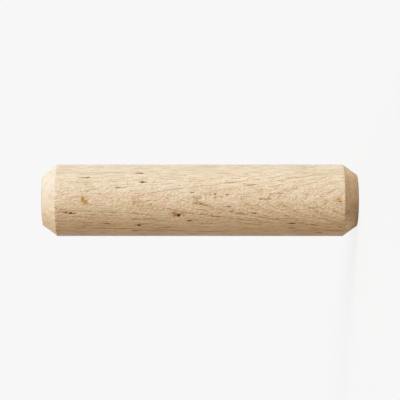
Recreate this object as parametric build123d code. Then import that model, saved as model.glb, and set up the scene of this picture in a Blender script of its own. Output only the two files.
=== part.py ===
from build123d import *
import os

# A smooth beech dowel pin, turned as one piece with a chamfer at each end.
# It stands on its lower end face: the origin is that face's centre, and +Z
# runs up the pin's axis. All sizes are in millimetres.

# Driving dimensions of the shank
PIN_DIAMETER = 8.0
PIN_LENGTH = 35.0

# Each end is turned down to a cone, so that the pin finds its hole
CHAMFER_LENGTH = 1.6
CHAMFER_DEPTH = 1.15

# The edges of the cones are softened: the shoulder where a cone meets the
# shank, and the rim where it meets the end face
SHOULDER_ROUND = 0.1
RIM_ROUND = 0.15

# Sizes that follow from the ones above
SHANK_RADIUS = PIN_DIAMETER / 2
END_FACE_RADIUS = SHANK_RADIUS - CHAMFER_DEPTH
UPPER_SHOULDER = PIN_LENGTH - CHAMFER_LENGTH


def half_section():
    """Half of the lengthwise section, with X out from the axis and Y up it."""
    outline = Polyline(
        (0, 0),
        (END_FACE_RADIUS, 0),
        (SHANK_RADIUS, CHAMFER_LENGTH),
        (SHANK_RADIUS, UPPER_SHOULDER),
        (END_FACE_RADIUS, PIN_LENGTH),
        (0, PIN_LENGTH),
        close=True,
    )
    section = make_face(outline)
    shoulders = section.vertices().group_by(Axis.X)[-1]
    section = fillet(shoulders, SHOULDER_ROUND)
    rims = section.vertices().group_by(Axis.X)[1]
    return fillet(rims, RIM_ROUND)


def dowel_pin():
    """The whole pin: the half section turned once round the axis."""
    return revolve(Plane.XZ * half_section(), Axis.Z)


os.makedirs("parts", exist_ok=True)
export_step(dowel_pin(), "parts/dowel_pin.step")
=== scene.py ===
"""Looks of a turned beech dowel pin, dressed round its solid model.

The pin stands on its lower end, with +Z up its axis. The camera lies on its side in front of it, on -Y, so
that the pin's upper end is at the picture's left and +X is up in the picture. Most light comes from +X, so
the front's edge on that side is called its lit edge and the other one its shaded edge. Sizes are in
millimetres, and become Blender's metres where a mesh or an object is placed.
"""

import logging
import math
from dataclasses import dataclass, field
from enum import Enum
from functools import reduce
from typing import Mapping, NamedTuple, Optional, Sequence, Union

import bmesh
import bpy
import numpy as np
from mathutils import Matrix, Vector, noise

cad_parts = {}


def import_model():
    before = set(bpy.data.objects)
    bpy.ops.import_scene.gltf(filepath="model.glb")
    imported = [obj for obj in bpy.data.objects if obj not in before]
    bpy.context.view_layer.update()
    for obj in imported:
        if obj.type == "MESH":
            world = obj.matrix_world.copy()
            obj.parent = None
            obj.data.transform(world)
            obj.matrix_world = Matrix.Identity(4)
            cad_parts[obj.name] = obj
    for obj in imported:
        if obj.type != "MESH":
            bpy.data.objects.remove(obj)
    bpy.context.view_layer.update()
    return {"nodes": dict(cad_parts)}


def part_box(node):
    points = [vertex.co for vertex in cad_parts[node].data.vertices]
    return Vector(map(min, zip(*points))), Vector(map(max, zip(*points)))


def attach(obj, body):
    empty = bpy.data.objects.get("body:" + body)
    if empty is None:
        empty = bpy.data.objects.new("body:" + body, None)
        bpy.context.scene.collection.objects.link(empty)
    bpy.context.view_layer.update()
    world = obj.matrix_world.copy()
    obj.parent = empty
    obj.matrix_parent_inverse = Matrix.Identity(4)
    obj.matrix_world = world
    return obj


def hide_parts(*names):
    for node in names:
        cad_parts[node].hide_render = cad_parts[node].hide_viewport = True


MILLIMETRE = 0.001
PIN_NODE = "dowel_pin"
PIN_BODY = "root"
PIN_PIECE = "beech_dowel_pin"

LOG = logging.getLogger("dowel_pin")

# A span says where something starts and where it is full
Span = tuple[float, float]
Triple = tuple[float, float, float]
Colour = tuple[float, float, float]
Stops = tuple[tuple[float, Colour], ...]
Number = Union[float, "Value"]

# The middle of a value that runs from 0 to 1
MIDDLE = 0.5
# A tint that leaves a colour as it is
UNCHANGED: Colour = (1.0, 1.0, 1.0)
# The soft edge of a mark or a patch, as squared shares of its half size
SOFT_EDGE: Span = (1.0, 0.3)


def opaque(colour: Colour) -> tuple[float, float, float, float]:
    """A colour that nothing shows through."""
    return (*colour, 1.0)


def grey(level: float) -> Colour:
    """A grey of one level."""
    return (level, level, level)


class Value:
    """A number that changes over a surface. Arithmetic on it adds Math nodes."""

    def __init__(self, shader: "Shader", socket: bpy.types.NodeSocket) -> None:
        """Keep the socket and the shader that it belongs to."""
        self.shader = shader
        self.socket = socket

    def __add__(self, other: Number) -> "Value":
        """This value plus another."""
        return self.shader.math("ADD", self, other)

    def __radd__(self, other: Number) -> "Value":
        """Another value plus this one."""
        return self.shader.math("ADD", other, self)

    def __sub__(self, other: Number) -> "Value":
        """This value less another."""
        return self.shader.math("SUBTRACT", self, other)

    def __rsub__(self, other: Number) -> "Value":
        """Another value less this one."""
        return self.shader.math("SUBTRACT", other, self)

    def __mul__(self, other: Number) -> "Value":
        """This value times another."""
        return self.shader.math("MULTIPLY", self, other)

    def __rmul__(self, other: Number) -> "Value":
        """Another value times this one."""
        return self.shader.math("MULTIPLY", other, self)

    def __truediv__(self, other: Number) -> "Value":
        """This value divided by another."""
        return self.shader.math("DIVIDE", self, other)

    def __rtruediv__(self, other: Number) -> "Value":
        """Another value divided by this one."""
        return self.shader.math("DIVIDE", other, self)

    def __abs__(self) -> "Value":
        """The size of this value, without its sign."""
        return self.shader.math("ABSOLUTE", self)

    def times_plus(self, factor: Number, offset: Number) -> "Value":
        """This value times one number plus another, in a single node."""
        return self.shader.math("MULTIPLY_ADD", self, factor, offset)

    def larger(self, other: Number) -> "Value":
        """The larger of this value and another."""
        return self.shader.math("MAXIMUM", self, other)

    def smaller(self, other: Number) -> "Value":
        """The smaller of this value and another."""
        return self.shader.math("MINIMUM", self, other)

    def turn_from(self, other: Number) -> "Value":
        """The angle that this value and another make, in radians from the other's direction."""
        return self.shader.math("ARCTAN2", self, other)

    def whole(self) -> "Value":
        """The whole number at or under this value."""
        return self.shader.math("FLOOR", self)

    def fraction(self) -> "Value":
        """What is left over the whole number."""
        return self.shader.math("FRACT", self)

    def rise(self, low: float, high: float) -> "Value":
        """A smooth step, which falls where its start is the higher.

        Args:
            low: Where it starts, at 0.
            high: Where it is full, at 1.

        Returns:
            The step.
        """
        sockets = {"Value": self, "From Min": low, "From Max": high}
        node = self.shader.node("ShaderNodeMapRange", {"interpolation_type": "SMOOTHSTEP"}, sockets)
        return Value(self.shader, node.outputs[0])


Given = Union[float, Sequence[float], Value, bpy.types.NodeSocket]


class Place(NamedTuple):
    """A vector, such as a point of the wood in millimetres, and its three parts as values."""

    vector: bpy.types.NodeSocket
    x: Value
    y: Value
    z: Value


class Mottle(NamedTuple):
    """Soft random variation about zero, from about -0.5 to 0.5.

    Attributes:
        grain: The size of its blotches along X, Y and Z.
        detail: How many finer layers are added.
        roughness: How strong each finer layer is beside the one before.
        contrast: Which levels are drawn out to 0 and 1, or nothing where it stays soft.
    """

    grain: Triple
    detail: float = 0.0
    roughness: float = 0.5
    contrast: Optional[Span] = None


class Shader:
    """A node tree, and the one way that nodes are added to it."""

    def __init__(self, tree: bpy.types.NodeTree) -> None:
        """Take a tree over and empty it."""
        self.tree = tree
        tree.nodes.clear()

    def node(
        self,
        kind: str,
        settings: Optional[Mapping[str, object]] = None,
        sockets: Optional[Mapping[str, Given]] = None,
    ) -> bpy.types.Node:
        """Add one node.

        Args:
            kind: Blender's name for the type of node.
            settings: The node's own properties, set first, among them a colour ramp's stops.
            sockets: Values or links for the inputs, by their identifiers.

        Returns:
            The new node.
        """
        node = self.tree.nodes.new(kind)
        for name, setting in (settings or {}).items():
            if name == "stops":
                self.set_stops(node.color_ramp, setting)
            elif name == "interpolation":
                node.color_ramp.interpolation = setting
            else:
                setattr(node, name, setting)
        inputs = {socket.identifier: socket for socket in node.inputs}
        for name, given in (sockets or {}).items():
            source = given.socket if isinstance(given, Value) else given
            if isinstance(source, bpy.types.NodeSocket):
                self.tree.links.new(source, inputs[name])
            else:
                inputs[name].default_value = source
        return node

    @staticmethod
    def set_stops(ramp: bpy.types.ColorRamp, stops: Stops) -> None:
        """Give a colour ramp its stops.

        Args:
            ramp: The ramp, which starts with two stops.
            stops: Places from 0 to 1 in rising order, each with its colour.
        """
        while len(ramp.elements) < len(stops):
            ramp.elements.new(1.0)
        for element, (place, colour) in zip(ramp.elements, stops):
            element.position = place
            element.color = opaque(colour)

    def math(self, operation: str, *inputs: Number) -> Value:
        """Add a Math node.

        Args:
            operation: The node's operation.
            inputs: Its one, two or three numbers.

        Returns:
            The result.
        """
        names = ("Value", "Value_001", "Value_002")
        node = self.node("ShaderNodeMath", {"operation": operation}, dict(zip(names, inputs)))
        return Value(self, node.outputs[0])

    def vector(self, operation: str, first: Given, second: Given) -> bpy.types.NodeSocket:
        """Add a Vector Math node on two vectors.

        Args:
            operation: The node's operation.
            first: The first vector.
            second: The second vector.

        Returns:
            The resulting vector.
        """
        sockets = {"Vector": first, "Vector_001": second}
        return self.node("ShaderNodeVectorMath", {"operation": operation}, sockets).outputs["Vector"]

    def length(self, vector: bpy.types.NodeSocket) -> Value:
        """The length of a vector."""
        node = self.node("ShaderNodeVectorMath", {"operation": "LENGTH"}, {"Vector": vector})
        return Value(self, node.outputs["Value"])

    def join(self, x: Number, y: Number, z: Number) -> bpy.types.NodeSocket:
        """A vector from its three parts."""
        return self.node("ShaderNodeCombineXYZ", None, {"X": x, "Y": y, "Z": z}).outputs[0]

    def split(self, vector: bpy.types.NodeSocket) -> Place:
        """A vector with its three parts as values."""
        parts = self.node("ShaderNodeSeparateXYZ", None, {"Vector": vector}).outputs
        return Place(vector, *(Value(self, part) for part in parts))

    def place(self) -> Place:
        """The point being shaded, in the piece's own millimetres."""
        metres = self.node("ShaderNodeTexCoord").outputs["Object"]
        return self.split(self.vector("MULTIPLY", metres, (1 / MILLIMETRE,) * 3))

    def mix(self, factor: Number, first: Given, second: Given, blend: str = "MIX") -> bpy.types.NodeSocket:
        """Mix two colours.

        Args:
            factor: How much of the second colour is used, from 0 to 1.
            first: The colour underneath.
            second: The colour on top.
            blend: How the second is laid on the first.

        Returns:
            The mixed colour.
        """
        settings = {"data_type": "RGBA", "blend_type": blend}
        sockets = {"Factor_Float": factor, "A_Color": first, "B_Color": second}
        outputs = self.node("ShaderNodeMix", settings, sockets).outputs
        return next(socket for socket in outputs if socket.identifier == "Result_Color")

    def tint(self, colour: Given, tint: Given) -> bpy.types.NodeSocket:
        """A colour with a tint laid over it."""
        return self.mix(1.0, colour, tint, "MULTIPLY")

    def ramp(self, value: Value, stops: Stops, interpolation: str = "LINEAR") -> bpy.types.NodeSocket:
        """A colour picked from a row of stops by a value from 0 to 1."""
        settings = {"stops": stops, "interpolation": interpolation}
        return self.node("ShaderNodeValToRGB", settings, {"Fac": value}).outputs["Color"]

    def speckle(self, vector: bpy.types.NodeSocket, mottle: Mottle) -> bpy.types.Node:
        """The noise that a mottle is made from.

        Args:
            vector: The place that is looked up.
            mottle: The kind of variation.

        Returns:
            The Noise Texture, which gives the noise as a value and as a colour.
        """
        stretched = self.vector("DIVIDE", vector, mottle.grain)
        sockets = {"Vector": stretched, "Scale": 1.0, "Detail": mottle.detail, "Roughness": mottle.roughness}
        return self.node("ShaderNodeTexNoise", None, sockets)

    def mottle(self, vector: bpy.types.NodeSocket, mottle: Mottle) -> Value:
        """Soft random variation.

        Args:
            vector: The place that is looked up.
            mottle: The kind of variation.

        Returns:
            A value about zero, or from 0 to 1 where the mottle has a contrast.
        """
        soft = Value(self, self.speckle(vector, mottle).outputs[0]) - MIDDLE
        return soft.rise(*mottle.contrast) if mottle.contrast else soft

    def seen(self) -> Value:
        """Tell what the camera sees from what only gives light.

        Returns:
            1 where the camera sees a surface, straight or in a gloss or through glass, and else 0.
        """
        path = self.node("ShaderNodeLightPath").outputs
        rays = ("Is Camera Ray", "Is Glossy Ray", "Is Transmission Ray")
        return reduce(Value.larger, (Value(self, path[ray]) for ray in rays))

    def blend(self, share: Number, first: bpy.types.Node, second: bpy.types.Node) -> bpy.types.Node:
        """Two surfaces mixed, with a share of the second."""
        sockets = {"Fac": share, "Shader": first.outputs[0], "Shader_001": second.outputs[0]}
        return self.node("ShaderNodeMixShader", None, sockets)


class Stain(Enum):
    """What coloured a mark in the wood, in the order in which they are laid on."""

    PALE = "pale"
    OLIVE = "olive"
    OCHRE = "ochre"
    RED = "red"
    BROWN = "brown"


@dataclass(frozen=True)
class Mark:
    """A spindle of coloured wood that comes to the surface of the shank.

    Attributes:
        height: Its middle, from the lower end.
        turn: Its middle round the shank, in degrees from the front towards +X.
        length: Its size along the axis.
        width: Its size round the shank.
        strength: How deep its colour is, where 1 is the full stain and more makes its middle wider.
        stain: What coloured it.
        pit: How far the surface has sunk at its middle.
    """

    height: float
    turn: float
    length: float
    width: float
    strength: float
    stain: Stain = Stain.BROWN
    pit: float = 0.0


FRONT_MARKS = (
    # The crack near the upper end, towards the lit edge
    Mark(30.28, 38.4, 1.4, 0.18, 0.34, Stain.OLIVE, 0.02),
    Mark(30.15, 38.4, 1.1, 0.17, 0.38, Stain.OCHRE),
    Mark(29.76, 38.4, 0.45, 0.16, 0.85),
    # The ochre fleck with a dark end, near the lit edge
    Mark(24.10, 48.0, 1.15, 0.25, 0.92, Stain.OCHRE, 0.03),
    Mark(23.83, 47.2, 0.27, 0.20, 0.85),
    # Dark cracks between that fleck and the middle
    Mark(23.66, 29.4, 1.15, 0.17, 0.80, pit=0.05),
    Mark(23.75, 29.4, 0.30, 0.22, 1.20),
    Mark(22.55, 29, 0.7, 0.14, 0.40),
    Mark(26.45, 19.5, 0.85, 0.16, 0.55, pit=0.02),
    # Ochre flecks on the middle, near the upper end
    Mark(30.30, 0.6, 0.30, 0.85, 0.62, Stain.OCHRE, 0.02),
    Mark(30.06, -2.6, 0.27, 0.62, 0.60, Stain.OCHRE, 0.02),
    Mark(29.84, -4.0, 0.28, 0.60, 0.36, Stain.OCHRE),
    Mark(29.54, -7.0, 0.26, 0.50, 0.26, Stain.OCHRE),
    Mark(30.34, 8.0, 0.22, 0.55, 0.26, Stain.OCHRE),
    Mark(30.15, -1.5, 1.40, 1.50, 0.15, Stain.OCHRE),
    # The red crack by the upper shoulder
    Mark(32.6, -19.4, 1.6, 0.26, 0.42, Stain.RED, 0.02),
    Mark(32.16, -20.4, 0.55, 0.22, 0.85, Stain.RED),
    Mark(31.64, -21.6, 0.44, 0.21, 1.05, pit=0.03),
    Mark(31.36, -21.8, 0.85, 0.17, 0.60),
    Mark(31.72, -20.4, 0.80, 0.42, 0.30, Stain.RED),
    # The faint red patch on the middle
    Mark(24.75, 0.5, 0.60, 1.10, 0.17, Stain.RED),
    Mark(24.60, -4.5, 0.70, 0.50, 0.18, Stain.RED),
    Mark(24.30, -2.0, 1.40, 1.40, 0.08, Stain.RED),
    # The knot, and the red wood round it
    Mark(19.77, -25.4, 0.44, 0.35, 2.10, pit=0.09),
    Mark(20.22, -22.4, 0.75, 0.42, 0.30, Stain.RED, 0.04),
    Mark(20.36, -20.4, 0.58, 0.26, 0.28, Stain.RED),
    Mark(20.18, -25.3, 0.60, 0.22, 0.62, Stain.RED),
    Mark(19.45, -22.0, 0.65, 0.35, 0.18, Stain.RED),
    Mark(19.15, -20.6, 0.70, 0.30, 0.14, Stain.RED),
    Mark(19.90, -22.6, 2.60, 0.95, 0.19, Stain.RED),
    Mark(19.88, -23.2, 0.90, 0.40, 0.26, Stain.RED),
    # Cracks between the knot and the shaded edge
    Mark(18.6, -35, 0.8, 0.17, 0.95, pit=0.02),
    Mark(20.95, -48.8, 0.9, 0.17, 0.60, pit=0.02),
    Mark(27.7, -40.6, 1.0, 0.22, 0.50, pit=0.02),
    Mark(24.62, -58.6, 0.9, 0.19, 0.62, pit=0.02),
    Mark(24.1, -57, 2.9, 0.10, 0.25),
    Mark(24.15, -44.6, 0.55, 0.30, 1.0, pit=0.05),
    Mark(24.3, -43.6, 1.5, 0.22, 0.28),
    # Small cracks on the middle and towards the lit edge
    Mark(14.25, -10.6, 0.65, 0.18, 0.48, pit=0.02),
    Mark(14.4, 8.0, 0.50, 0.17, 0.58, pit=0.02),
    Mark(15.1, 4.6, 0.55, 0.15, 0.52, pit=0.02),
    Mark(15.8, 9.0, 0.35, 0.30, 0.42),
    Mark(18.3, 11.8, 0.75, 0.15, 0.65, pit=0.02),
    Mark(21.1, 2.4, 0.55, 0.14, 0.36),
    Mark(20.7, 7.2, 0.50, 0.13, 0.30),
    Mark(18.1, -4.4, 0.85, 0.22, 0.38, Stain.OLIVE),
    Mark(31.2, -7.5, 0.55, 0.14, 0.35),
    Mark(27.0, -2.0, 0.45, 0.12, 0.30),
    Mark(30.05, 26.7, 0.25, 0.16, 0.40),
    Mark(29.8, 13.0, 0.50, 0.12, 0.30),
    Mark(30.5, 13.0, 0.40, 0.12, 0.28),
    Mark(32.5, 8.0, 0.45, 0.14, 0.30),
    Mark(10.80, 1.3, 0.45, 0.22, 0.45, pit=0.03),
    Mark(10.40, 1.4, 1.10, 0.26, 0.42, Stain.OLIVE),
    Mark(9.80, 1.3, 0.50, 0.20, 0.60, Stain.OLIVE),
    Mark(9.75, 9.3, 0.70, 0.22, 0.36, Stain.OLIVE),
    Mark(8.7, 10.0, 0.90, 0.18, 0.32),
    Mark(8.5, 31, 1.0, 0.13, 0.32),
    Mark(7.7, 37, 1.2, 0.14, 0.38),
    Mark(6.9, 38.5, 1.0, 0.12, 0.28),
    Mark(5.1, 17.5, 1.4, 0.10, 0.30),
    Mark(5.6, 8.0, 0.28, 0.15, 0.18),
    Mark(4.25, 5.0, 0.28, 0.16, 0.58),
    Mark(2.4, 0.0, 1.5, 0.8, 0.22, Stain.OCHRE),
    Mark(2.35, 0.6, 0.30, 0.20, 0.45),
    Mark(2.05, -2.8, 0.40, 0.18, 0.50),
    # Cracks and thin lines near the lower end and the shaded edge
    Mark(7.38, -40.2, 1.05, 0.19, 0.85, pit=0.03),
    Mark(4.92, -43.8, 1.1, 0.19, 0.50, pit=0.02),
    Mark(4.25, -64, 0.85, 0.22, 0.52, pit=0.02),
    Mark(4.5, -54, 0.60, 0.13, 0.25),
    Mark(11.5, -21.5, 0.65, 0.18, 0.62, pit=0.02),
    Mark(8.0, -31, 2.6, 0.11, 0.40),
    Mark(5.0, -13, 1.5, 0.12, 0.33),
    Mark(2.7, -19, 0.55, 0.14, 0.35),
    Mark(10.9, -43.5, 0.32, 0.18, 0.35),
    Mark(10.3, 46.5, 0.32, 0.17, 0.35),
    Mark(1.97, -49, 0.34, 0.18, 0.50),
    Mark(12.6, 26.2, 0.38, 0.17, 0.30),
    Mark(11.9, 25, 1.5, 0.22, 0.22),
    Mark(22.9, -31, 1.9, 0.15, 0.30),
    Mark(14.0, -18, 0.80, 0.24, 0.32),
    Mark(10.6, -39, 1.4, 0.18, 0.26),
    # Short marks across the middle
    Mark(18.10, 2.5, 0.18, 0.85, 0.16, Stain.OLIVE),
    Mark(17.88, 2.5, 0.16, 0.80, 0.14),
    Mark(17.62, 2.5, 0.18, 0.90, 0.16, Stain.OLIVE),
    Mark(17.42, 3.0, 0.16, 0.85, 0.08),
    Mark(16.80, 4.0, 0.18, 1.00, 0.42, Stain.OLIVE),
    Mark(15.80, 3.0, 0.16, 0.60, 0.30),
    Mark(12.93, 3.0, 0.15, 0.65, 0.32),
    Mark(12.72, 5.0, 0.35, 0.14, 0.28),
    Mark(12.3, 2.0, 0.13, 0.55, 0.18),
    Mark(7.62, 2.5, 0.13, 0.65, 0.24),
    Mark(7.28, 2.0, 0.13, 0.70, 0.22),
    Mark(6.95, 3.0, 0.13, 0.60, 0.22),
    # Pale, olive and ochre patches
    Mark(17.12, 3.5, 0.34, 1.30, 0.70, Stain.PALE),
    Mark(17.60, -6.6, 1.5, 0.26, 0.40, Stain.OLIVE),
    Mark(16.75, -8.4, 0.7, 0.20, 0.45, Stain.OLIVE),
    Mark(16.3, 8.3, 1.1, 0.30, 0.25, Stain.OLIVE),
    Mark(33.0, 9.0, 0.10, 1.00, 0.20),
    Mark(32.4, -1.0, 1.1, 0.70, 0.25, Stain.PALE),
    Mark(20.5, 14.0, 5.0, 4.0, 0.22, Stain.PALE),
    Mark(32.3, 6.0, 3.0, 4.5, 0.18, Stain.PALE),
    Mark(6.3, -58.0, 2.6, 1.6, 0.32, Stain.PALE),
    Mark(4.6, 54.0, 8.0, 3.4, 0.05, Stain.OCHRE),
    # Thin marks above the knot
    Mark(23.95, -10.0, 1.1, 0.16, 0.30),
    Mark(22.9, -13.6, 1.2, 0.16, 0.26, Stain.OCHRE),
    Mark(21.8, -16.6, 1.3, 0.14, 0.22),
    # The lower cone
    Mark(0.42, 47.0, 0.6, 1.7, 0.13, Stain.RED),
    Mark(0.30, 17.0, 0.5, 1.6, 0.11, Stain.RED),
    Mark(0.62, -11.0, 1.0, 1.3, 0.11, Stain.RED),
    Mark(0.50, -24.0, 0.22, 0.40, 0.30),
    Mark(0.36, -28.5, 0.22, 0.40, 0.30),
    Mark(0.88, -39.5, 0.50, 0.26, 0.34),
    Mark(1.12, 12.0, 0.20, 0.45, 0.28, Stain.OLIVE),
    Mark(1.00, 7.0, 0.20, 0.45, 0.28, Stain.OLIVE),
    Mark(1.15, 35.0, 0.70, 2.40, 0.12, Stain.OLIVE),
    Mark(1.15, -21.0, 0.50, 0.80, 0.16),
    # The upper cone
    Mark(33.90, 7.0, 0.16, 1.10, 0.26, Stain.OLIVE),
    Mark(33.70, 15.0, 0.30, 0.35, 0.20, Stain.OLIVE),
    Mark(33.80, -20.6, 0.45, 0.13, 0.30),
)


class Zones(NamedTuple):
    """Where a point lies on the pin.

    Attributes:
        aside: How far it is to either side of the view's middle, as a share of the radius.
        front: 1 in front and 0 behind.
        lit_side: 0 at the front's shaded edge, 1 at its lit edge, and a half behind.
        flank: 1 near both edges of the view.
        on_shank: 1 on the shank and 0 on the cones.
        plain: 1 towards the upper end, where the grain is plainer.
        corner: 1 in the streaky corner near the lower end.
        clear: 1 in the patches of clear wood.
        shaded_edge: 1 along the front's shaded edge, where a painted reflection is laid.
        from_middle: How far it is along the axis from the pin's middle.
    """

    aside: Value
    front: Value
    lit_side: Value
    flank: Value
    on_shank: Value
    plain: Value
    corner: Value
    clear: Value
    shaded_edge: Value
    from_middle: Value

    def kept(self, on_cones: float) -> Value:
        """How much of something is left: all of it on the shank, and a share on the cones."""
        return on_cones + (1 - on_cones) * self.on_shank


class Across(NamedTuple):
    """An amount that changes across the front, from its shaded edge to its lit edge; the grain uses it to
    show stronger towards the shaded edge, which is partly painted shade in its relief.
    """

    shaded: float
    lit: float

    def at(self, zones: Zones) -> Value:
        """The amount at a point."""
        return self.shaded + (self.lit - self.shaded) * zones.lit_side


@dataclass(frozen=True)
class ClearPatch:
    """A patch of clear wood on the front.

    Attributes:
        height: Its middle, from the lower end.
        up: Its middle, from the axis towards +X.
        half_length: Half its size along the axis.
        half_width: Half its size along X.
    """

    height: float
    up: float
    half_length: float
    half_width: float

    def inside(self, place: Place) -> Value:
        """Tell the patch from what is round it.

        Args:
            place: The point being shaded.

        Returns:
            1 inside the patch and 0 round it.
        """
        along = (place.z - self.height) / self.half_length
        across = (place.x - self.up) / self.half_width
        return (along * along + across * across).rise(*SOFT_EDGE)


@dataclass(frozen=True)
class ZoneLimits:
    """Where each zone of the wood starts, and where it is full.

    Attributes:
        front: The front, as shares of the radius towards the back.
        flank: The flanks, as shares of the radius away from the view's middle.
        shoulder_fade: How far to each side of a shoulder the shank fades into the cone.
        plain: The plainer wood, as heights.
        corner_height: The streaky corner, as heights.
        corner_up: The streaky corner, as shares of the radius towards +X.
        shaded_edge: The front's shaded edge, as shares of the radius towards +X.
        clear_patches: The patches of clear wood.
    """

    front: Span = (0.1, -0.5)
    flank: Span = (0.4, 0.85)
    shoulder_fade: float = 0.05
    plain: Span = (15.0, 26.0)
    corner_height: Span = (10.0, 5.5)
    corner_up: Span = (0.12, 0.4)
    shaded_edge: Span = (-0.835, -0.955)
    clear_patches: tuple[ClearPatch, ...] = (
        ClearPatch(height=20.7, up=-1.15, half_length=1.7, half_width=0.55),
        ClearPatch(height=21.9, up=0.85, half_length=2.4, half_width=0.55),
    )

    def zones(self, place: Place, pin: "DowelPin") -> Zones:
        """Find where a point lies.

        Args:
            place: The point being shaded.
            pin: The pin that it is on.

        Returns:
            The zones.
        """
        up = place.x / pin.radius
        aside = abs(up)
        front = (place.y / pin.radius).rise(*self.front)
        from_middle = abs(place.z - pin.length / 2)
        return Zones(
            aside=aside,
            front=front,
            lit_side=MIDDLE + up * front * MIDDLE,
            flank=aside.rise(*self.flank),
            on_shank=from_middle.rise(pin.shoulder + self.shoulder_fade, pin.shoulder - self.shoulder_fade),
            plain=place.z.rise(*self.plain),
            corner=place.z.rise(*self.corner_height) * up.rise(*self.corner_up),
            clear=reduce(Value.larger, (patch.inside(place) for patch in self.clear_patches)),
            shaded_edge=up.rise(*self.shaded_edge) * front,
            from_middle=from_middle,
        )


class Wave(NamedTuple):
    """Waves in the growth layers.

    Attributes:
        height: How far they lift a layer.
        across: Their size across the grain.
        along: Their size along the grain.
    """

    height: float
    across: float
    along: float

    def lift(self, shader: Shader, place: Place) -> Value:
        """How far a layer is lifted at a point."""
        return shader.mottle(place.vector, Mottle((self.across, self.across, self.along))) * self.height


@dataclass(frozen=True)
class GrowthLayers:
    """How the tree's yearly layers lie in the pin.

    They lie almost square to the view, and climb a little along the pin, so they come out on the front as
    nested points that open towards the lower end.

    Attributes:
        tilt: Climb of a layer for each millimetre along the pin.
        steeper: How much steeper they climb below the height where that starts.
        bend: How fast the climb grows from there towards the lower end.
        flattest: Height at which the climb starts to grow.
        slope_length: How far above that height the layers still climb before they level out.
        level_tilt: Climb for each millimetre where they have levelled out.
        first_line: Depth of a layer's edge under the front at that height.
        cup: How much the layers curve across the pin.
        facing: Where they face the view, as shares of the radius away from its middle.
        swell: Long waves, all over the pin.
        wave: Short waves, where the layers face the view.
        ripple: The smallest waves, in the same place.
    """

    tilt: float = 0.038
    steeper: float = 0.011
    bend: float = 0.00012
    flattest: float = 21.3
    slope_length: float = 4.5
    level_tilt: float = 0.02
    first_line: float = 0.14
    cup: float = 0.008
    facing: Span = (0.8, 0.3)
    swell: Wave = Wave(height=0.06, across=2.4, along=9.0)
    wave: Wave = Wave(height=0.06, across=0.5, along=2.0)
    ripple: Wave = Wave(height=0.05, across=0.32, along=0.22)

    def depths(self, shader: Shader, place: Place, zones: Zones, radius: float) -> tuple[Value, Value]:
        """How far each point lies outside the layer that the first line belongs to.

        Args:
            shader: The finish that asks.
            place: The point being shaded.
            zones: Where it lies on the pin.
            radius: Radius of the shank, whose front the layers are measured from.

        Returns:
            The depth without the ripple and with it.
        """
        run = self.flattest - place.z
        sloping = run.larger(-self.slope_length)
        below = run.larger(0.0)
        climb = sloping * self.tilt + (run - sloping) * self.level_tilt
        climb = climb + below * self.steeper + below * below * below * self.bend
        under_front = place.y + radius + place.x * place.x * self.cup
        facing = zones.aside.rise(*self.facing)
        calm = climb - under_front + self.first_line + self.swell.lift(shader, place)
        calm = calm + self.wave.lift(shader, place) * facing
        return calm, calm + self.ripple.lift(shader, place) * facing


@dataclass(frozen=True)
class GrowthLines:
    """Thin lines that follow the growth layers, broken into dashes.

    Attributes:
        spacing: Depth from one line to the next.
        depth: Half the thickness of a line, measured through the layers.
        width: Half the most that a line takes up on the surface.
        dash: Length of its dashes.
        seed: Sets one family of lines apart from the next.
        wander: How unevenly the lines are spaced, in spacings for each unit of the drift.
        halo: How strong the soft shade along a line is.
        innermost: Which line the first of the strengths belongs to.
        strengths: How strong each line is, from the innermost out, or nothing where all are alike.
        drift: How the spacing changes through the layers, across and along.
        seed_step: How far apart the drifts of two families lie for each unit of the seed.
        line_step: How far apart the dashes of two lines lie in their noise.
        dash_width: Width of the dashes.
        gaps: Which levels of that noise are gaps, and which are whole line.
        halo_reach: How far the soft shade reaches, in halves of the line.
    """

    spacing: float
    depth: float
    width: float
    dash: float
    seed: float
    wander: float = 0.0
    halo: float = 0.0
    innermost: int = 0
    strengths: tuple[float, ...] = ()
    drift: Mottle = Mottle((0.5, 3.0, 15.0))
    seed_step: float = 50.0
    line_step: float = 7.3
    dash_width: float = 0.6
    gaps: Span = (-0.12, 0.18)
    halo_reach: float = 3.5

    def count(self, shader: Shader, place: Place, depth: Value) -> Value:
        """How many lines lie under each point.

        Args:
            shader: The finish that asks.
            place: The point being shaded.
            depth: Its depth in the growth layers.

        Returns:
            The count, which is a whole number and a half in the middle of a line.
        """
        count = depth / self.spacing
        if self.wander:
            spot = shader.join(depth, place.x, place.z + self.seed * self.seed_step)
            count = count + shader.mottle(spot, self.drift) * self.wander
        return count + MIDDLE

    def drawn(self, shader: Shader, place: Place, depth: Value, slope: Value) -> Value:
        """Where the lines show.

        Args:
            shader: The finish that asks.
            place: The point being shaded.
            depth: Its depth in the growth layers.
            slope: How fast that depth changes along the surface.

        Returns:
            A value from 0 to 1, which is 1 in the middle of a line.
        """
        count = self.count(shader, place, depth)
        off_line = abs(count.fraction() - MIDDLE) * self.spacing / (slope * self.width).smaller(self.depth)
        spot = shader.join(count.whole() * self.line_step + self.seed, place.x, place.z)
        dashes = Mottle((1.0, self.dash_width, self.dash), detail=1.0, contrast=self.gaps)
        shown = off_line.rise(1.0, 0.0) * shader.mottle(spot, dashes)
        if self.halo:
            shown = off_line.rise(self.halo_reach, 0.0).times_plus(self.halo, shown)
        if self.strengths:
            lines = len(self.strengths)
            stops = tuple((rank / lines, grey(strength)) for rank, strength in enumerate(self.strengths))
            share = (count.whole() - self.innermost + MIDDLE) / lines
            shown = shown * Value(shader, shader.ramp(share, stops, "CONSTANT"))
        return shown


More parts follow.
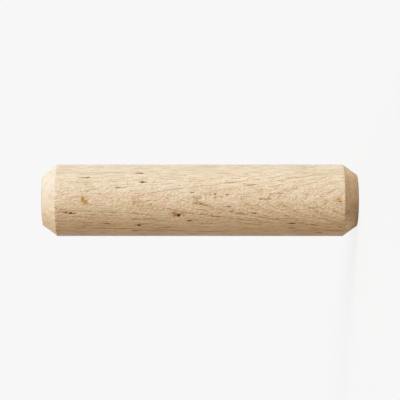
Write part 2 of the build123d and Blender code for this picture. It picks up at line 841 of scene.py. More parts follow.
@dataclass(frozen=True)
class EdgeLines:
    """Even lines along the flanks, where the growth layers are cut edge on.

    Attributes:
        spacing: Distance along X from one line to the next.
        sway: How they sway along the pin.
        swing: How far they sway, in spacings for each unit of the sway.
        line: Where a line starts and is full, from 0 midway between two lines to 1 on a line.
        dashes: How they are broken into dashes.
        outline: Where they fade towards the pin's outline, as shares of the radius.
    """

    spacing: float = 0.43
    sway: Mottle = Mottle((1.1, 1.1, 8.0), detail=1.0)
    swing: float = 2.2
    line: Span = (0.5, 0.95)
    dashes: Mottle = Mottle((0.3, 0.5, 2.4), detail=1.0, contrast=(-0.12, 0.15))
    outline: Span = (1.0, 0.82)

    def drawn(self, shader: Shader, place: Place, zones: Zones) -> Value:
        """Where the lines show.

        Args:
            shader: The finish that asks.
            place: The point being shaded.
            zones: Where it lies on the pin.

        Returns:
            A value from 0 to 1, which is 1 in the middle of a line.
        """
        count = place.x / self.spacing + shader.mottle(place.vector, self.sway) * self.swing
        line = (abs(count.fraction() - MIDDLE) * 2).rise(*self.line)
        return line * shader.mottle(place.vector, self.dashes) * zones.flank * zones.aside.rise(*self.outline)


@dataclass(frozen=True)
class Rays:
    """The wood's rays: thin plates that run in from the bark, seen end on as short brown dashes.

    Attributes:
        room: Spacing of the rays along X, Y and Z.
        reach: Half the size of one ray along X, Y and Z.
        edge: Where a ray's edge starts and is full, as shares of that reach.
        chance: Which rays are faint and which are dark, in a draw from 0 to 1.
    """

    room: Triple
    reach: Triple
    edge: Span = (1.0, 0.25)
    chance: Span = (0.25, 1.0)

    def dashes(self, shader: Shader, place: Place) -> Value:
        """Where the rays are cut.

        Args:
            shader: The finish that asks.
            place: The point being shaded.

        Returns:
            A value from 0 to 1, higher in the darker rays.
        """
        cells = shader.vector("DIVIDE", place.vector, self.room)
        nearest = shader.node("ShaderNodeTexVoronoi", None, {"Vector": cells, "Scale": 1.0}).outputs
        away = shader.vector("SUBTRACT", cells, nearest["Position"])
        shares = tuple(room / reach for room, reach in zip(self.room, self.reach))
        spindle = shader.length(shader.vector("MULTIPLY", away, shares)).rise(*self.edge)
        return spindle * shader.split(nearest["Color"]).x.rise(*self.chance)


class Grain(NamedTuple):
    """What shows at a point of each part of the grain, under the names that its sizes have."""

    years: Value
    hairs: Value
    fine: Value
    rows: Value
    streaks: Value
    edge_lines: Value
    wide: Value
    fibres: Value
    pores: Value
    drift: Value
    nap: Value
    blush: Value
    rays: Value


@dataclass(frozen=True)
class GrainSizes:
    """The sizes of everything in the grain.

    Attributes:
        layers: The growth layers.
        years: Edges of the yearly layers.
        hairs: Thinner lines between them.
        fine: The thinnest lines that follow the layers.
        rows: Close rows of them along the middle of the front.
        rows_aside: Where those rows fade, as shares of the radius away from the view's middle.
        streaks: Long streaks on the flanks and in the streaky corner.
        edge_lines: Even lines on the flanks.
        wide: Wide bands: their size through the layers, across and along.
        fibres: Short fibres.
        pores: Pores, which are drawn as tiny rays.
        drift: Slow change all over the pin.
        nap: The sanded surface.
        nap_aside: Where the nap fades, as shares of the radius away from the view's middle.
        nap_on_cones: How much of the nap is left on the cones.
        blush: Patches that are redder or greener.
        rays: The rays.
    """

    layers: GrowthLayers = GrowthLayers()
    years: GrowthLines = GrowthLines(
        spacing=0.32,
        depth=0.045,
        width=0.14,
        dash=2.0,
        seed=2.4,
        halo=0.35,
        innermost=-12,
        strengths=(
            0.6, 0.8, 0.6, 0.8, 0.9, 1.1, 0.8, 1.0, 0.6, 0.9,
            0.5, 0.5, 0.9, 0.95, 0.7, 0.9, 0.8, 0.5, 0.5, 0.6,
        ),
    )
    hairs: GrowthLines = GrowthLines(spacing=0.145, depth=0.026, width=0.06, dash=1.3, seed=1.7, wander=1.2)
    fine: GrowthLines = GrowthLines(spacing=0.083, depth=0.018, width=0.05, dash=0.5, seed=3.1, wander=1.2)
    rows: GrowthLines = GrowthLines(spacing=0.016, depth=0.0055, width=0.06, dash=0.4, seed=5.2)
    rows_aside: Span = (0.24, 0.05)
    streaks: Mottle = Mottle((0.13, 0.32, 4.2), detail=1.0, contrast=(0.02, 0.17))
    edge_lines: EdgeLines = EdgeLines()
    wide: Mottle = Mottle((0.6, 1.5, 12.0), detail=2.0, roughness=0.7)
    fibres: Mottle = Mottle((0.24, 0.24, 1.1), detail=1.0, roughness=0.6)
    pores: Rays = Rays(room=(0.24, 0.24, 0.62), reach=(0.045, 0.045, 0.2))
    drift: Mottle = Mottle((3.0, 3.0, 11.0))
    nap: Mottle = Mottle((0.17, 0.17, 0.3), detail=1.0, contrast=(-0.15, 0.15))
    nap_aside: Span = (1.0, 0.4)
    nap_on_cones: float = 0.3
    blush: Mottle = Mottle((0.8, 0.8, 2.6), detail=1.0)
    rays: Rays = Rays(room=(0.42, 3.0, 1.3), reach=(0.06, 1.5, 0.36))

    def grain(self, shader: Shader, place: Place, zones: Zones, radius: float) -> Grain:
        """Draw the whole grain.

        Args:
            shader: The finish that asks.
            place: The point being shaded.
            zones: Where it lies on the pin.
            radius: Radius of the shank.

        Returns:
            What shows at the point.
        """
        calm, depth = self.layers.depths(shader, place, zones, radius)
        slope = zones.aside + self.layers.tilt
        nap = shader.mottle(place.vector, self.nap) - MIDDLE
        return Grain(
            years=self.years.drawn(shader, place, depth, slope),
            hairs=self.hairs.drawn(shader, place, depth, slope),
            fine=self.fine.drawn(shader, place, depth, slope),
            rows=self.rows.drawn(shader, place, calm, slope) * zones.aside.rise(*self.rows_aside),
            streaks=shader.mottle(place.vector, self.streaks) * zones.flank.larger(zones.corner),
            edge_lines=self.edge_lines.drawn(shader, place, zones),
            wide=shader.mottle(shader.join(depth, place.x, place.z), self.wide),
            fibres=shader.mottle(place.vector, self.fibres),
            pores=self.pores.dashes(shader, place),
            drift=shader.mottle(place.vector, self.drift),
            nap=nap * zones.aside.rise(*self.nap_aside) * zones.kept(self.nap_on_cones),
            blush=shader.mottle(place.vector, self.blush),
            rays=self.rays.dashes(shader, place),
        )


@dataclass(frozen=True)
class ToneShares:
    """How much each part of the grain changes the wood's tone, which runs from 0, darkest, to 1, palest.

    Attributes:
        clean: Tone of clean wood.
        wide: Change by the wide bands.
        fibres: Change by the fibres.
        pores: Darkening by the pores.
        drift: Change by the slow drift.
        years: Darkening by the yearly lines.
        hairs: Darkening by the hair lines.
        fine: Darkening by the finest lines.
        rows: Darkening by the close rows.
        nap: Change by the nap.
        lines_behind: How much of the three kinds of line shows behind.
        lines_in_front: How much more of them shows in front.
        lines_on_cones: How much of them is left on the cones.
        lost_on_flank: How much of them the front's flanks lose.
        lost_in_clear: How much of them the clear patches lose.
        lost_in_plain: How much of them the plainer wood loses.
        lost_in_corner: How much of them the streaky corner loses.
        streaks_behind: Darkening by the streaks behind.
        streaks_in_front: How much more they darken in front.
        streaks_in_corner: How much more they darken in the streaky corner.
        edge_lines_behind: Darkening by the even lines of the flanks behind.
        edge_lines_in_front: How much more they darken in front.
    """

    clean: float = 0.752
    wide: float = 0.4
    fibres: float = 0.42
    pores: float = 0.5
    drift: float = 0.1
    years: float = 0.32
    hairs: float = 0.38
    fine: float = 0.26
    rows: float = 0.2
    # Grain that shows stronger towards the front's shaded edge is partly painted shade in its relief
    nap: Across = Across(shaded=0.31, lit=0.15)
    lines_behind: float = 0.8
    lines_in_front: Across = Across(shaded=0.85, lit=-0.5)
    lines_on_cones: float = 0.68
    lost_on_flank: float = 0.4
    lost_in_clear: float = 0.7
    lost_in_plain: Across = Across(shaded=0.1, lit=0.6)
    lost_in_corner: float = 0.55
    streaks_behind: float = 0.1
    streaks_in_front: Across = Across(shaded=0.1, lit=-0.02)
    streaks_in_corner: float = 0.1
    edge_lines_behind: float = 0.05
    edge_lines_in_front: Across = Across(shaded=0.52, lit=0.0)

    def lines(self, grain: Grain, zones: Zones) -> Value:
        """How much the three kinds of line that follow the layers darken a point.

        Args:
            grain: What shows of the grain at the point.
            zones: Where the point lies.

        Returns:
            The darkening.
        """
        lines = grain.years * self.years + grain.hairs * self.hairs + grain.fine * self.fine
        lines = lines * zones.kept(self.lines_on_cones)
        lines = lines * (1 - self.lost_on_flank * zones.flank * zones.front)
        lines = lines * (1 - self.lost_in_clear * zones.clear)
        lost = zones.plain * self.lost_in_plain.at(zones) + self.lost_in_corner * zones.corner
        return lines * (1 - lost) * (self.lines_behind + zones.front * self.lines_in_front.at(zones))

    def tone(self, grain: Grain, zones: Zones) -> Value:
        """Lay all parts of the grain over each other.

        Args:
            grain: What shows of the grain at a point.
            zones: Where the point lies.

        Returns:
            The tone.
        """
        streaks = self.streaks_behind + zones.corner * self.streaks_in_corner
        streaks = streaks + zones.front * self.streaks_in_front.at(zones)
        edge_lines = self.edge_lines_behind + zones.front * self.edge_lines_in_front.at(zones)
        tone = self.clean + grain.wide * self.wide + grain.fibres * self.fibres - grain.pores * self.pores
        tone = tone + grain.drift * self.drift - self.lines(grain, zones)
        tone = tone - grain.streaks * streaks - grain.edge_lines * edge_lines
        return tone - grain.rows * self.rows + grain.nap * self.nap.at(zones)


@dataclass(frozen=True)
class Relief:
    """How far the fine grain stands up or lies in, as shares of a small depth.

    Attributes:
        depth: That depth.
        nap: Share of the nap.
        fibres: Share of the fibres.
        pores: Share of the pores.
        years: Share of the yearly lines.
        hairs: Share of the hair lines.
        rays: Share of the rays.
        on_cones: How much of all but the nap is left on the cones.
    """

    depth: float = 0.1
    nap: float = 0.3
    fibres: float = 0.15
    pores: float = 0.3
    years: float = 0.25
    hairs: float = 0.5
    rays: float = 0.4
    on_cones: float = 0.3

    def normal(self, shader: Shader, grain: Grain, zones: Zones) -> bpy.types.NodeSocket:
        """The surface's direction with the relief on it.

        Args:
            shader: The finish that asks.
            grain: What shows of the grain at a point.
            zones: Where the point lies.

        Returns:
            The normal.
        """
        sunk = grain.pores * self.pores + grain.years * self.years + grain.hairs * self.hairs
        raised = grain.fibres * self.fibres - sunk - grain.rays * self.rays
        height = grain.nap * self.nap + raised * zones.kept(self.on_cones)
        sockets = {"Strength": 1.0, "Distance": self.depth * MILLIMETRE, "Height": height}
        return shader.node("ShaderNodeBump", None, sockets).outputs[0]


@dataclass(frozen=True)
class BeechFinish:
    """Bare sanded beech, sawn so that the growth layers face the view, with painted light and shade in its
    colour.

    Attributes:
        tones: The wood's colour from its darkest lines to its palest fibres.
        painted_light_and_shade_tint: Painted light and shade laid over that colour: browner towards the
            front's shaded edge, paler and bluer towards its lit edge.
        painted_reflection_tint: A painted reflection of the pale floor, laid bluish over the shaded edge
            itself.
        blush_tint: What is laid over it in greener and in redder patches.
        stains: What a mark of each kind leaves of the colour, from none of it to the full mark.
        upper_cut_and_painted_light: What is laid over the upper cone, from the shaded edge to the lit edge:
            partly the cut's own colour, partly painted light.
        lower_cut_and_painted_shade: What is laid over the lower cone: partly the cut's own colour, partly
            painted shade.
        cut_edge: How far to each side of a shoulder the cone's colour starts.
        shoulder_band: Colour of a darker band just under the lower shoulder.
        shoulder_band_share: How much of that colour shows.
        shoulder_band_reach: How far under the shoulder it starts, and where it is full.
        end_grain: What is laid over the end faces.
        end_grain_reach: How far from an end face that starts, and where it is full.
        zone_limits: Where the zones of the wood are.
        grain_sizes: The grain.
        tone_shares: How much the grain changes the tone.
        relief: How far the grain stands up.
        marks: The marks that were placed one by one.
        marks_rise: How far they are all moved up together.
        marks_turn: How far they are all turned together, in degrees.
        wander: How the edges of the marks and the cones wander.
        wander_along: How far the marks wander along the axis.
        wander_round: How far they wander round the shank.
        wander_shoulder: How far the cones' edges wander.
        ray_stain: How strongly the rays are stained brown.
        year_stain: How strongly the yearly lines are stained olive.
        roughness: Roughness of the clean wood.
        fibre_roughness: How much smoother the fibres are.
        brown_roughness: How much rougher the brown marks are.
        specular: Strength of its gloss.
        sheen: Strength of its downy sheen.
        sheen_roughness: Roughness of that sheen.
        sheen_tint: Colour of that sheen.
    """

    tones: Stops = (
        (0.0, (0.46, 0.24, 0.08)),
        (0.5, (0.702, 0.503, 0.315)),
        (0.75, (0.765, 0.589, 0.41)),
        (1.0, (0.82, 0.674, 0.505)),
    )
    # Painted light and shade: browner towards the front's shaded edge, paler and bluer towards its lit edge
    painted_light_and_shade_tint: Stops = (
        (0.0, (1.0, 0.915, 0.74)),
        (0.5, (0.98, 0.972, 0.95)),
        (0.65, (0.973, 0.99, 1.045)),
        (0.8, (0.966, 1.003, 1.062)),
        (1.0, (0.96, 1.015, 1.10)),
    )
    # Painted reflection of the pale floor, bluish along the front's shaded edge
    painted_reflection_tint: Stops = ((0.0, UNCHANGED), (1.0, (0.985, 1.045, 1.23)))
    blush_tint: Stops = ((0.25, (0.97, 1.0, 0.96)), (0.5, UNCHANGED), (0.75, (1.02, 0.97, 0.97)))
    stains: Mapping[Stain, Stops] = field(
        default_factory=lambda: {
            Stain.PALE: ((0.0, UNCHANGED), (0.5, (1.06, 1.09, 1.18)), (1.0, (1.12, 1.18, 1.36))),
            Stain.OLIVE: ((0.0, UNCHANGED), (0.5, (0.64, 0.61, 0.47)), (1.0, (0.40, 0.36, 0.26))),
            Stain.OCHRE: ((0.0, UNCHANGED), (0.5, (0.74, 0.59, 0.33)), (1.0, (0.42, 0.28, 0.08))),
            Stain.RED: ((0.0, UNCHANGED), (0.5, (0.73, 0.58, 0.47)), (1.0, (0.41, 0.24, 0.15))),
            Stain.BROWN: (
                (0.0, UNCHANGED),
                (0.35, (0.68, 0.565, 0.43)),
                (0.7, (0.34, 0.215, 0.115)),
                (1.0, (0.10, 0.045, 0.015)),
            ),
        }
    )
    # Partly the upper cone's own colour, partly painted light; palest and bluest towards its shaded edge
    upper_cut_and_painted_light: Stops = (
        (0.15, (1.14, 1.27, 1.47)),
        (0.3, (1.11, 1.185, 1.34)),
        (0.5, (0.99, 1.09, 1.26)),
        (0.68, (0.96, 1.055, 1.195)),
        (0.85, (0.93, 1.0, 1.08)),
    )
    # Partly the lower cone's own colour, partly painted shade: darker and browner in its middle, lighter at
    # both edges
    lower_cut_and_painted_shade: Stops = (
        (0.15, (1.22, 1.26, 1.25)),
        (0.3, (0.86, 0.81, 0.74)),
        (0.5, (0.90, 0.78, 0.66)),
        (0.75, (0.89, 0.77, 0.61)),
        (0.85, (1.10, 0.94, 0.77)),
    )
    cut_edge: float = 0.03
    # A darker band just under the lower shoulder
    shoulder_band: Colour = (0.22, 0.13, 0.06)
    shoulder_band_share: float = 0.2
    shoulder_band_reach: Span = (0.35, 0.05)
    end_grain: Colour = (0.80, 0.74, 0.68)
    end_grain_reach: Span = (0.12, 0.02)
    zone_limits: ZoneLimits = ZoneLimits()
    grain_sizes: GrainSizes = GrainSizes()
    tone_shares: ToneShares = ToneShares()
    relief: Relief = Relief()
    marks: tuple[Mark, ...] = FRONT_MARKS
    marks_rise: float = 0.05
    marks_turn: float = 0.8
    wander: Mottle = Mottle((0.12, 0.12, 0.3), detail=2.0)
    wander_along: float = 0.35
    wander_round: float = 0.11
    wander_shoulder: float = 0.22
    ray_stain: float = 0.24
    year_stain: float = 0.12
    roughness: float = 0.62
    fibre_roughness: float = 0.15
    brown_roughness: float = 0.15
    specular: float = 0.1
    sheen: float = 0.2
    sheen_roughness: float = 0.3
    sheen_tint: Colour = (0.7, 0.88, 1.0)

    def mark_height(self, mark: Mark) -> float:
        """Height of a mark's middle on the pin."""
        return mark.height + self.marks_rise

    def mark_turn(self, mark: Mark) -> float:
        """Turn of a mark's middle on the pin, in radians."""
        return math.radians(mark.turn + self.marks_turn)

    def marked(self, height: Value, turned: Value, stain: Stain, radius: float) -> Value:
        """How strongly one kind of stain shows.

        Args:
            height: Height of the point being shaded.
            turned: How far round the shank it is from the front.
            stain: The kind of stain.
            radius: Radius of the shank.

        Returns:
            A value that is 0 in clean wood and 1 in the middle of a full mark.
        """
        total: Number = 0.0
        for mark in self.marks:
            if mark.stain is not stain:
                continue
            per_length = 2 / mark.length
            per_width = 2 / mark.width
            along = height.times_plus(per_length, -self.mark_height(mark) * per_length)
            across = turned.times_plus(per_width, -self.mark_turn(mark) * radius * per_width)
            spot = along.times_plus(along, across * across).rise(*SOFT_EDGE)
            total = spot.times_plus(mark.strength, total)
        return total

    def stain_amounts(self, place: Place, wander: Place, grain: Grain, radius: float) -> dict[Stain, Value]:
        """How strongly each kind of stain shows.

        Args:
            place: The point being shaded.
            wander: How the edges of the marks wander there.
            grain: What shows of the grain.
            radius: Radius of the shank.

        Returns:
            The amounts, in the order in which they are laid on.
        """
        height = (wander.x - MIDDLE).times_plus(self.wander_along, place.z)
        turned = (wander.y - MIDDLE).times_plus(self.wander_round, place.x.turn_from(0.0 - place.y) * radius)
        amounts = {stain: self.marked(height, turned, stain, radius) for stain in Stain}
        amounts[Stain.OLIVE] = amounts[Stain.OLIVE] + grain.years * self.year_stain
        amounts[Stain.BROWN] = amounts[Stain.BROWN] + grain.rays * self.ray_stain
        return amounts

    def wood_colour(self, shader: Shader, grain: Grain, zones: Zones) -> bpy.types.NodeSocket:
        """The colour of the wood before its marks, with painted light and shade across the front and a
        painted reflection along its shaded edge.

        Args:
            shader: The finish that asks.
            grain: What shows of the grain at a point.
            zones: Where the point lies.

        Returns:
            The colour.
        """
        colour = shader.ramp(self.tone_shares.tone(grain, zones), self.tones)
        # Painted light and shade across the front
        colour = shader.tint(colour, shader.ramp(zones.lit_side, self.painted_light_and_shade_tint))
        # Painted reflection of the pale floor along the shaded edge
        colour = shader.tint(colour, shader.ramp(zones.shaded_edge, self.painted_reflection_tint))
        return shader.tint(colour, shader.ramp(grain.blush + MIDDLE, self.blush_tint))

    def cut_colour(
        self, shader: Shader, colour: bpy.types.NodeSocket, along: Value, zones: Zones, pin: "DowelPin"
    ) -> bpy.types.NodeSocket:
        """Colour the cones, with painted light on the upper cone and painted shade on the lower one over the
        colour that the cutter left, darken a band under the lower shoulder, and tint the end faces that the
        saw left.

        Args:
            shader: The finish that asks.
            colour: The colour of the wood.
            along: Height over the pin's middle, with the wander of the cones' edges.
            zones: Where the point lies.
            pin: The pin that it is on.

        Returns:
            The colour with the cuts.
        """
        upper = along.rise(pin.shoulder - self.cut_edge, pin.shoulder + self.cut_edge)
        lower = along.rise(-pin.shoulder + self.cut_edge, -pin.shoulder - self.cut_edge)
        # The upper cone gets its cut colour with painted light, the lower cone its cut colour with painted
        # shade
        colour = shader.mix(upper, colour, shader.tint(colour, shader.ramp(zones.lit_side, self.upper_cut_and_painted_light)))
        colour = shader.mix(lower, colour, shader.tint(colour, shader.ramp(zones.lit_side, self.lower_cut_and_painted_shade)))
        # A darker band just under the lower shoulder
        start, full = (-pin.shoulder - reach for reach in self.shoulder_band_reach)
        colour = shader.mix(lower * along.rise(start, full) * self.shoulder_band_share, colour, opaque(self.shoulder_band))
        start, full = (pin.length / 2 - reach for reach in self.end_grain_reach)
        end_face = zones.from_middle.rise(start, full)
        return shader.mix(end_face, colour, shader.tint(colour, opaque(self.end_grain)))

    def material(self, pin: "DowelPin") -> bpy.types.Material:
        """Make the finish for a pin.

        Args:
            pin: The pin that wears it.

        Returns:
            The material.
        """
        material = bpy.data.materials.new("bare_beech")
        material.use_nodes = True
        shader = Shader(material.node_tree)
        place = shader.place()
        zones = self.zone_limits.zones(place, pin)
        grain = self.grain_sizes.grain(shader, place, zones, pin.radius)
        wander = shader.split(shader.speckle(place.vector, self.wander).outputs["Color"])
        colour = self.wood_colour(shader, grain, zones)
        amounts = self.stain_amounts(place, wander, grain, pin.radius)
        for stain, amount in amounts.items():
            colour = shader.tint(colour, shader.ramp(amount, self.stains[stain]))
        along = place.z - pin.length / 2 + (wander.z - MIDDLE) * self.wander_shoulder
        smoother = grain.fibres * self.fibre_roughness
        sockets = {
            "Base Color": self.cut_colour(shader, colour, along, zones, pin),
            "Roughness": self.roughness - smoother + amounts[Stain.BROWN] * self.brown_roughness,
            "Specular IOR Level": self.specular,
            "Sheen Weight": self.sheen,
            "Sheen Roughness": self.sheen_roughness,
            "Sheen Tint": opaque(self.sheen_tint),
            "Normal": self.relief.normal(shader, grain, zones),
        }
        surface = shader.node("ShaderNodeBsdfPrincipled", None, sockets)
        shader.node("ShaderNodeOutputMaterial", None, {"Surface": surface.outputs[0]})
        return material


@dataclass
class DowelPin:
    """The whole pin, turned from one stick: a round shank with a cone at each end.

    Attributes:
        radius: Radius of the shank.
        length: Length over both end faces.
        cone_length: Length of each cone along the axis.
        cone_depth: How far each cone comes in from the shank.
        shoulder_round: Radius where a cone meets the shank.
        rim_round: Radius where a cone meets its end face.
        round_steps: Steps of each of those rounds.
        sector_steps: Steps of the short sector that is spun first.
        doublings: How often that sector is doubled until it goes right round.
        mesh_length: Size of a face along the shank.
        mesh_fine: Size of a face along the cones and end faces.
        merge_distance: How near two points are when they are one.
        nick_reach: How far from a shoulder its nicks reach.
        nick_size: Width of a nick.
        nick_stretch: Width of a nick as a share of its length.
        nick_depth: Depth of the deepest nicks.
        nick_level: How high the noise is where a nick starts.
        grain_width: Width of the raised fibres.
        grain_length: Length of the raised fibres.
        grain_depth: How far the wood between them has sunk.
        flat_end: How near an end a point is when it lies in the end face.
        saw_pitch: Distance between the ridges that the saw left on the end faces.
        saw_depth: Depth of those faces' roughness.
        saw_share: Height of the ridges as a share of that depth.
        saw_across: Direction across the ridges, along X and Y.
        finish: The bare wood.
    """

    radius: float
    length: float
    cone_length: float = 1.6
    cone_depth: float = 1.15
    shoulder_round: float = 0.1
    rim_round: float = 0.15
    round_steps: int = 4
    sector_steps: int = 10
    doublings: int = 5
    mesh_length: float = 0.2
    mesh_fine: float = 0.11
    merge_distance: float = 0.001
    nick_reach: float = 0.3
    nick_size: float = 0.22
    nick_stretch: float = 0.3
    nick_depth: float = 0.16
    nick_level: float = 0.05
    grain_width: float = 0.28
    grain_length: float = 1.7
    grain_depth: float = 0.006
    flat_end: float = 0.0005
    saw_pitch: float = 0.55
    saw_depth: float = 0.008
    saw_share: float = 0.5
    saw_across: Span = (0.8, 0.6)
    finish: BeechFinish = field(default_factory=BeechFinish)

    @property
    def cone_angle(self) -> float:
        """Angle between a cone's side and the axis."""
        return math.atan2(self.cone_depth, self.cone_length)

    @property
    def shoulder(self) -> float:
        """Distance along the axis from the pin's middle to each shoulder."""
        return self.length / 2 - self.cone_length

    def half_section(self) -> bmesh.types.BMesh:
        """Draw half of the lengthwise section as a wire, with its corners rounded.

        Returns:
            The wire in the XZ plane, from the lower end's middle to the upper end's.
        """
        face_radius = self.radius - self.cone_depth
        corners = (
            (0.0, 0.0),
            (face_radius, 0.0),
            (self.radius, self.cone_length),
            (self.radius, self.length - self.cone_length),
            (face_radius, self.length),
            (0.0, self.length),
        )
        wire = bmesh.new()
        points = [wire.verts.new((out, 0.0, up)) for out, up in corners]
        for start, end in zip(points, points[1:]):
            wire.edges.new((start, end))
        _, lower_rim, lower_shoulder, upper_shoulder, upper_rim, _ = points
        self.round_corners(wire, (lower_rim, upper_rim), self.rim_round, math.pi / 2 - self.cone_angle)
        self.round_corners(wire, (lower_shoulder, upper_shoulder), self.shoulder_round, self.cone_angle)
        return wire

    def round_corners(
        self, wire: bmesh.types.BMesh, corners: Sequence[bmesh.types.BMVert], radius: float, turn: float
    ) -> None:
        """Round some corners of a wire.

        Args:
            wire: The wire.
            corners: Its corners to round.
            radius: Radius of the arc.
            turn: How far the wire turns at each corner.
        """
        bmesh.ops.bevel(
            wire,
            geom=list(corners),
            offset=radius * math.tan(turn / 2),
            offset_type="OFFSET",
            segments=self.round_steps,
            profile=0.5,
            affect="VERTICES",
            material=-1,
        )

    def blank(self) -> bmesh.types.BMesh:
        """Turn the section into the pin's smooth blank.

        Returns:
            The closed mesh, in millimetres.
        """
        blank = self.half_section()
        for edge in blank.edges[:]:
            run = edge.calc_length()
            step = self.mesh_length if run > self.length / 2 else self.mesh_fine
            cuts = int(run / step)
            if cuts:
                bmesh.ops.subdivide_edges(blank, edges=[edge], cuts=cuts)
        axis = Vector((0.0, 0.0, 1.0))
        foot = Vector((0.0, 0.0, 0.0))
        sector = 2 * math.pi / 2**self.doublings
        section = blank.verts[:] + blank.edges[:]
        bmesh.ops.spin(blank, geom=section, cent=foot, axis=axis, angle=sector, steps=self.sector_steps)
        for _ in range(self.doublings):
            whole = blank.verts[:] + blank.edges[:] + blank.faces[:]
            copied = bmesh.ops.duplicate(blank, geom=whole)["geom"]
            points = [part for part in copied if isinstance(part, bmesh.types.BMVert)]
            bmesh.ops.rotate(blank, verts=points, cent=foot, matrix=Matrix.Rotation(sector, 3, axis))
            sector *= 2
        bmesh.ops.remove_doubles(blank, verts=blank.verts[:], dist=self.merge_distance)
        bmesh.ops.recalc_face_normals(blank, faces=blank.faces[:])
        return blank

    def pits(self, spots: np.ndarray) -> np.ndarray:
        """How far each point is sunk in the pits of the marks.

        Args:
            spots: The points of the blank, one row each.

        Returns:
            The depths.
        """
        across, deep, up = spots.T
        turn = np.arctan2(across, -deep)
        sunk = np.zeros(len(spots))
        for mark in self.finish.marks:
            if mark.pit:
                along = (up - self.finish.mark_height(mark)) / (mark.length / 2)
                aside = (turn - self.finish.mark_turn(mark)) * self.radius / (mark.width / 2)
                sunk = np.maximum(sunk, mark.pit * np.exp(-(along**2) - aside**2))
        return sunk

    def nick(self, spot: Vector, from_end: float) -> float:
        """How far a point is sunk in the nicks of a shoulder.

        Args:
            spot: The point.
            from_end: Its distance along the axis from the nearer end.

        Returns:
            The depth.
        """
        from_shoulder = abs(from_end - self.cone_length)
        if from_shoulder >= self.nick_reach:
            return 0.0
        stretched = Vector((spot.x, spot.y, spot.z * self.nick_stretch)) / self.nick_size
        nick = max(0.0, noise.noise(stretched) - self.nick_level) * self.nick_depth
        return nick * (1 - from_shoulder / self.nick_reach) ** 2

    def carve(self, mesh: bpy.types.Mesh) -> None:
        """Sink the pits, the nicks and the grain into the sides, and the saw's ridges into the end faces.

        Args:
            mesh: The blank, in millimetres.
        """
        spots = np.empty(len(mesh.vertices) * 3)
        mesh.vertices.foreach_get("co", spots)
        spots = spots.reshape(-1, 3)
        sunk = self.pits(spots)
        sawn = np.zeros(len(spots))
        grain_size = (self.grain_width, self.grain_width, self.grain_length)
        saw_x, saw_y = self.saw_across
        for row, (across, deep, up) in enumerate(spots):
            grain = noise.noise(Vector([part / size for part, size in zip((across, deep, up), grain_size)]))
            from_end = self.length / 2 - abs(up - self.length / 2)
            if from_end < self.flat_end:
                ridge = math.sin((across * saw_x + deep * saw_y) / self.saw_pitch * 2 * math.pi)
                inwards = math.copysign(self.saw_depth, self.length / 2 - up)
                sawn[row] = (1 + grain + self.saw_share * (1 + ridge)) * inwards
            else:
                sunk[row] += (1 + grain) / 2 * self.grain_depth
                sunk[row] += self.nick(Vector((across, deep, up)), from_end)
        out = np.hypot(spots[:, 0], spots[:, 1])
        keep = 1 - sunk / np.maximum(out, self.radius / 2)
        spots[:, 0] *= keep
        spots[:, 1] *= keep
        spots[:, 2] += sawn
        mesh.vertices.foreach_set("co", spots.ravel())

    def build(self) -> bpy.types.Object:
        """Make the pin, dress it and put it in the frame.

        Returns:
            The finished piece.
        """
        mesh = bpy.data.meshes.new(PIN_PIECE)
        blank = self.blank()
        blank.to_mesh(mesh)
        blank.free()
        self.carve(mesh)
        mesh.transform(Matrix.Scale(MILLIMETRE, 4))
        mesh.shade_smooth()
        mesh.materials.append(self.finish.material(self))
        piece = bpy.data.objects.new(PIN_PIECE, mesh)
        bpy.context.scene.collection.objects.link(piece)
        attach(piece, PIN_BODY)
        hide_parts(PIN_NODE)
        return piece


@dataclass(frozen=True)
class PaperFinish:
    """Pale paper that looks like the background and still shows the pin's shadow.

    Attributes:
        glow: Level of what the camera sees, which is the background's too.
        lit: Level of its lit surface, which the lamps make a little brighter than it is.
        shadow_share: How much of its look is that lit surface, which shows the shadow.
        bounce: Level of the light that it throws back.
    """

    glow: float = 0.93
    lit: float = 0.795
    shadow_share: float = 0.12
    bounce: float = 0.45

    def material(self) -> bpy.types.Material:
        """Make the finish for the floor.

        Returns:
            The material.
        """
        material = bpy.data.materials.new("pale_paper")
        material.use_nodes = True
        shader = Shader(material.node_tree)
        lit = shader.node("ShaderNodeBsdfDiffuse", None, {"Color": opaque(grey(self.lit))})
        glow = shader.node("ShaderNodeEmission", None, {"Color": opaque(grey(self.glow))})
        shown = shader.blend(self.shadow_share, glow, lit)
        dull = shader.node("ShaderNodeBsdfDiffuse", None, {"Color": opaque(grey(self.bounce))})
        mixed = shader.blend(shader.seen(), dull, shown)
        shader.node("ShaderNodeOutputMaterial", None, {"Surface": mixed.outputs[0]})
        return material


@dataclass(frozen=True)
class Lamp:
    """A wide lamp, far enough away to light the pin evenly.

    Attributes:
        name: What it is for.
        comes_from: Where its light comes from.
        colour: Its colour.
        strength: Its strength.
        spread: How wide it looks from the pin, in degrees.
    """

    name: str
    comes_from: Triple
    colour: Colour
    strength: float
    spread: float = 35.0

    def hang(self) -> bpy.types.Object:
        """Hang the lamp.

        Returns:
            The lamp.
        """
        light = bpy.data.lights.new(self.name, "SUN")
        light.energy = self.strength
        light.color = self.colour
        light.angle = math.radians(self.spread)
        lamp = bpy.data.objects.new(self.name, light)
        lamp.rotation_euler = Vector(self.comes_from).to_track_quat("Z", "Y").to_euler()
        bpy.context.scene.collection.objects.link(lamp)
        return lamp


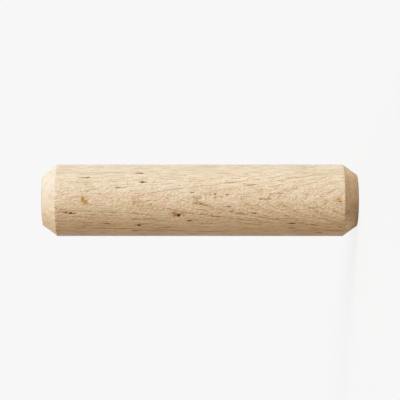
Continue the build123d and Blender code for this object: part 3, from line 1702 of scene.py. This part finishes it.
@dataclass
class Studio:
    """The plain pale floor, the light and the camera.

    Attributes:
        middle: The height that the camera looks at.
        paper: The floor's finish, which the background matches.
        fill: The soft light from all round.
        lamps: The lamps.
        floor_size: Width of the floor.
        camera_distance: Distance from the camera to the pin's axis.
        camera_rise: How far the camera stands above the axis in the picture.
        picture_width: Width that the picture takes in at the axis.
        nearest: Share of the camera's distance from which it sees anything.
    """

    middle: float
    paper: PaperFinish = PaperFinish()
    fill: Colour = (0.534, 0.452, 0.407)
    lamps: tuple[Lamp, ...] = (
        Lamp("key", comes_from=(0.54, -0.55, 0.63), colour=(0.93, 1.0, 1.0), strength=2.69),
        Lamp("top", comes_from=(0.97, -0.15, 0.2), colour=(0.6, 0.92, 1.0), strength=0.62),
        Lamp("rim", comes_from=(0.6, 0.78, 0.2), colour=(0.55, 0.6, 1.0), strength=0.8),
        Lamp("back", comes_from=(-0.1, 0.97, 0.22), colour=(0.85, 0.95, 1.0), strength=1.6, spread=30.0),
    )
    floor_size: float = 700.0
    camera_distance: float = 188.0
    camera_rise: float = 0.034
    picture_width: float = 44.7
    nearest: float = 0.1

    def light_world(self) -> None:
        """Give the world its soft fill light, behind a pale background."""
        world = bpy.data.worlds.new("studio")
        world.use_nodes = True
        bpy.context.scene.world = world
        shader = Shader(world.node_tree)
        fill = shader.node("ShaderNodeBackground", None, {"Color": opaque(self.fill)})
        paper = shader.node("ShaderNodeBackground", None, {"Color": opaque(grey(self.paper.glow))})
        mixed = shader.blend(shader.seen(), fill, paper)
        shader.node("ShaderNodeOutputWorld", None, {"Surface": mixed.outputs[0]})

    def lay_floor(self) -> bpy.types.Object:
        """Lay the floor under the pin.

        Returns:
            The floor.
        """
        sheet = bmesh.new()
        bmesh.ops.create_grid(sheet, x_segments=1, y_segments=1, size=self.floor_size / 2 * MILLIMETRE)
        mesh = bpy.data.meshes.new("floor")
        sheet.to_mesh(mesh)
        sheet.free()
        mesh.materials.append(self.paper.material())
        floor = bpy.data.objects.new("floor", mesh)
        bpy.context.scene.collection.objects.link(floor)
        return floor

    def set_camera(self) -> bpy.types.Object:
        """Set the camera in front of the pin, on its side.

        Returns:
            The camera.
        """
        lens = bpy.data.cameras.new("camera")
        lens.lens = lens.sensor_width * self.camera_distance / self.picture_width
        lens.clip_start = self.camera_distance * self.nearest * MILLIMETRE
        camera = bpy.data.objects.new("camera", lens)
        right = Vector((0, 0, -1))
        up = Vector((1, 0, 0))
        back = Vector((0, -1, 0))
        turned = Matrix((right, up, back)).transposed().to_4x4()
        spot = Vector((self.camera_rise, -self.camera_distance, self.middle)) * MILLIMETRE
        camera.matrix_world = Matrix.Translation(spot) @ turned
        bpy.context.scene.collection.objects.link(camera)
        bpy.context.scene.camera = camera
        return camera

    def build(self) -> None:
        """Set up the whole studio."""
        bpy.context.scene.view_settings.view_transform = "Standard"
        self.light_world()
        self.lay_floor()
        for lamp in self.lamps:
            lamp.hang()
        self.set_camera()


def main() -> None:
    """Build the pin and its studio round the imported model."""
    logging.basicConfig(level=logging.INFO, format="%(name)s: %(message)s")
    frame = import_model()
    LOG.info("frame: nodes %s", list(frame["nodes"]))
    low, high = (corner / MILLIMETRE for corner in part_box(PIN_NODE))
    pin = DowelPin(radius=high.x, length=high.z - low.z)
    piece = pin.build()
    LOG.info("%s: %d faces", piece.name, len(piece.data.polygons))
    studio = Studio(middle=pin.length / 2)
    studio.build()
    LOG.info("studio: floor, %d lamps and camera", len(studio.lamps))


if __name__ == "__main__":
    main()
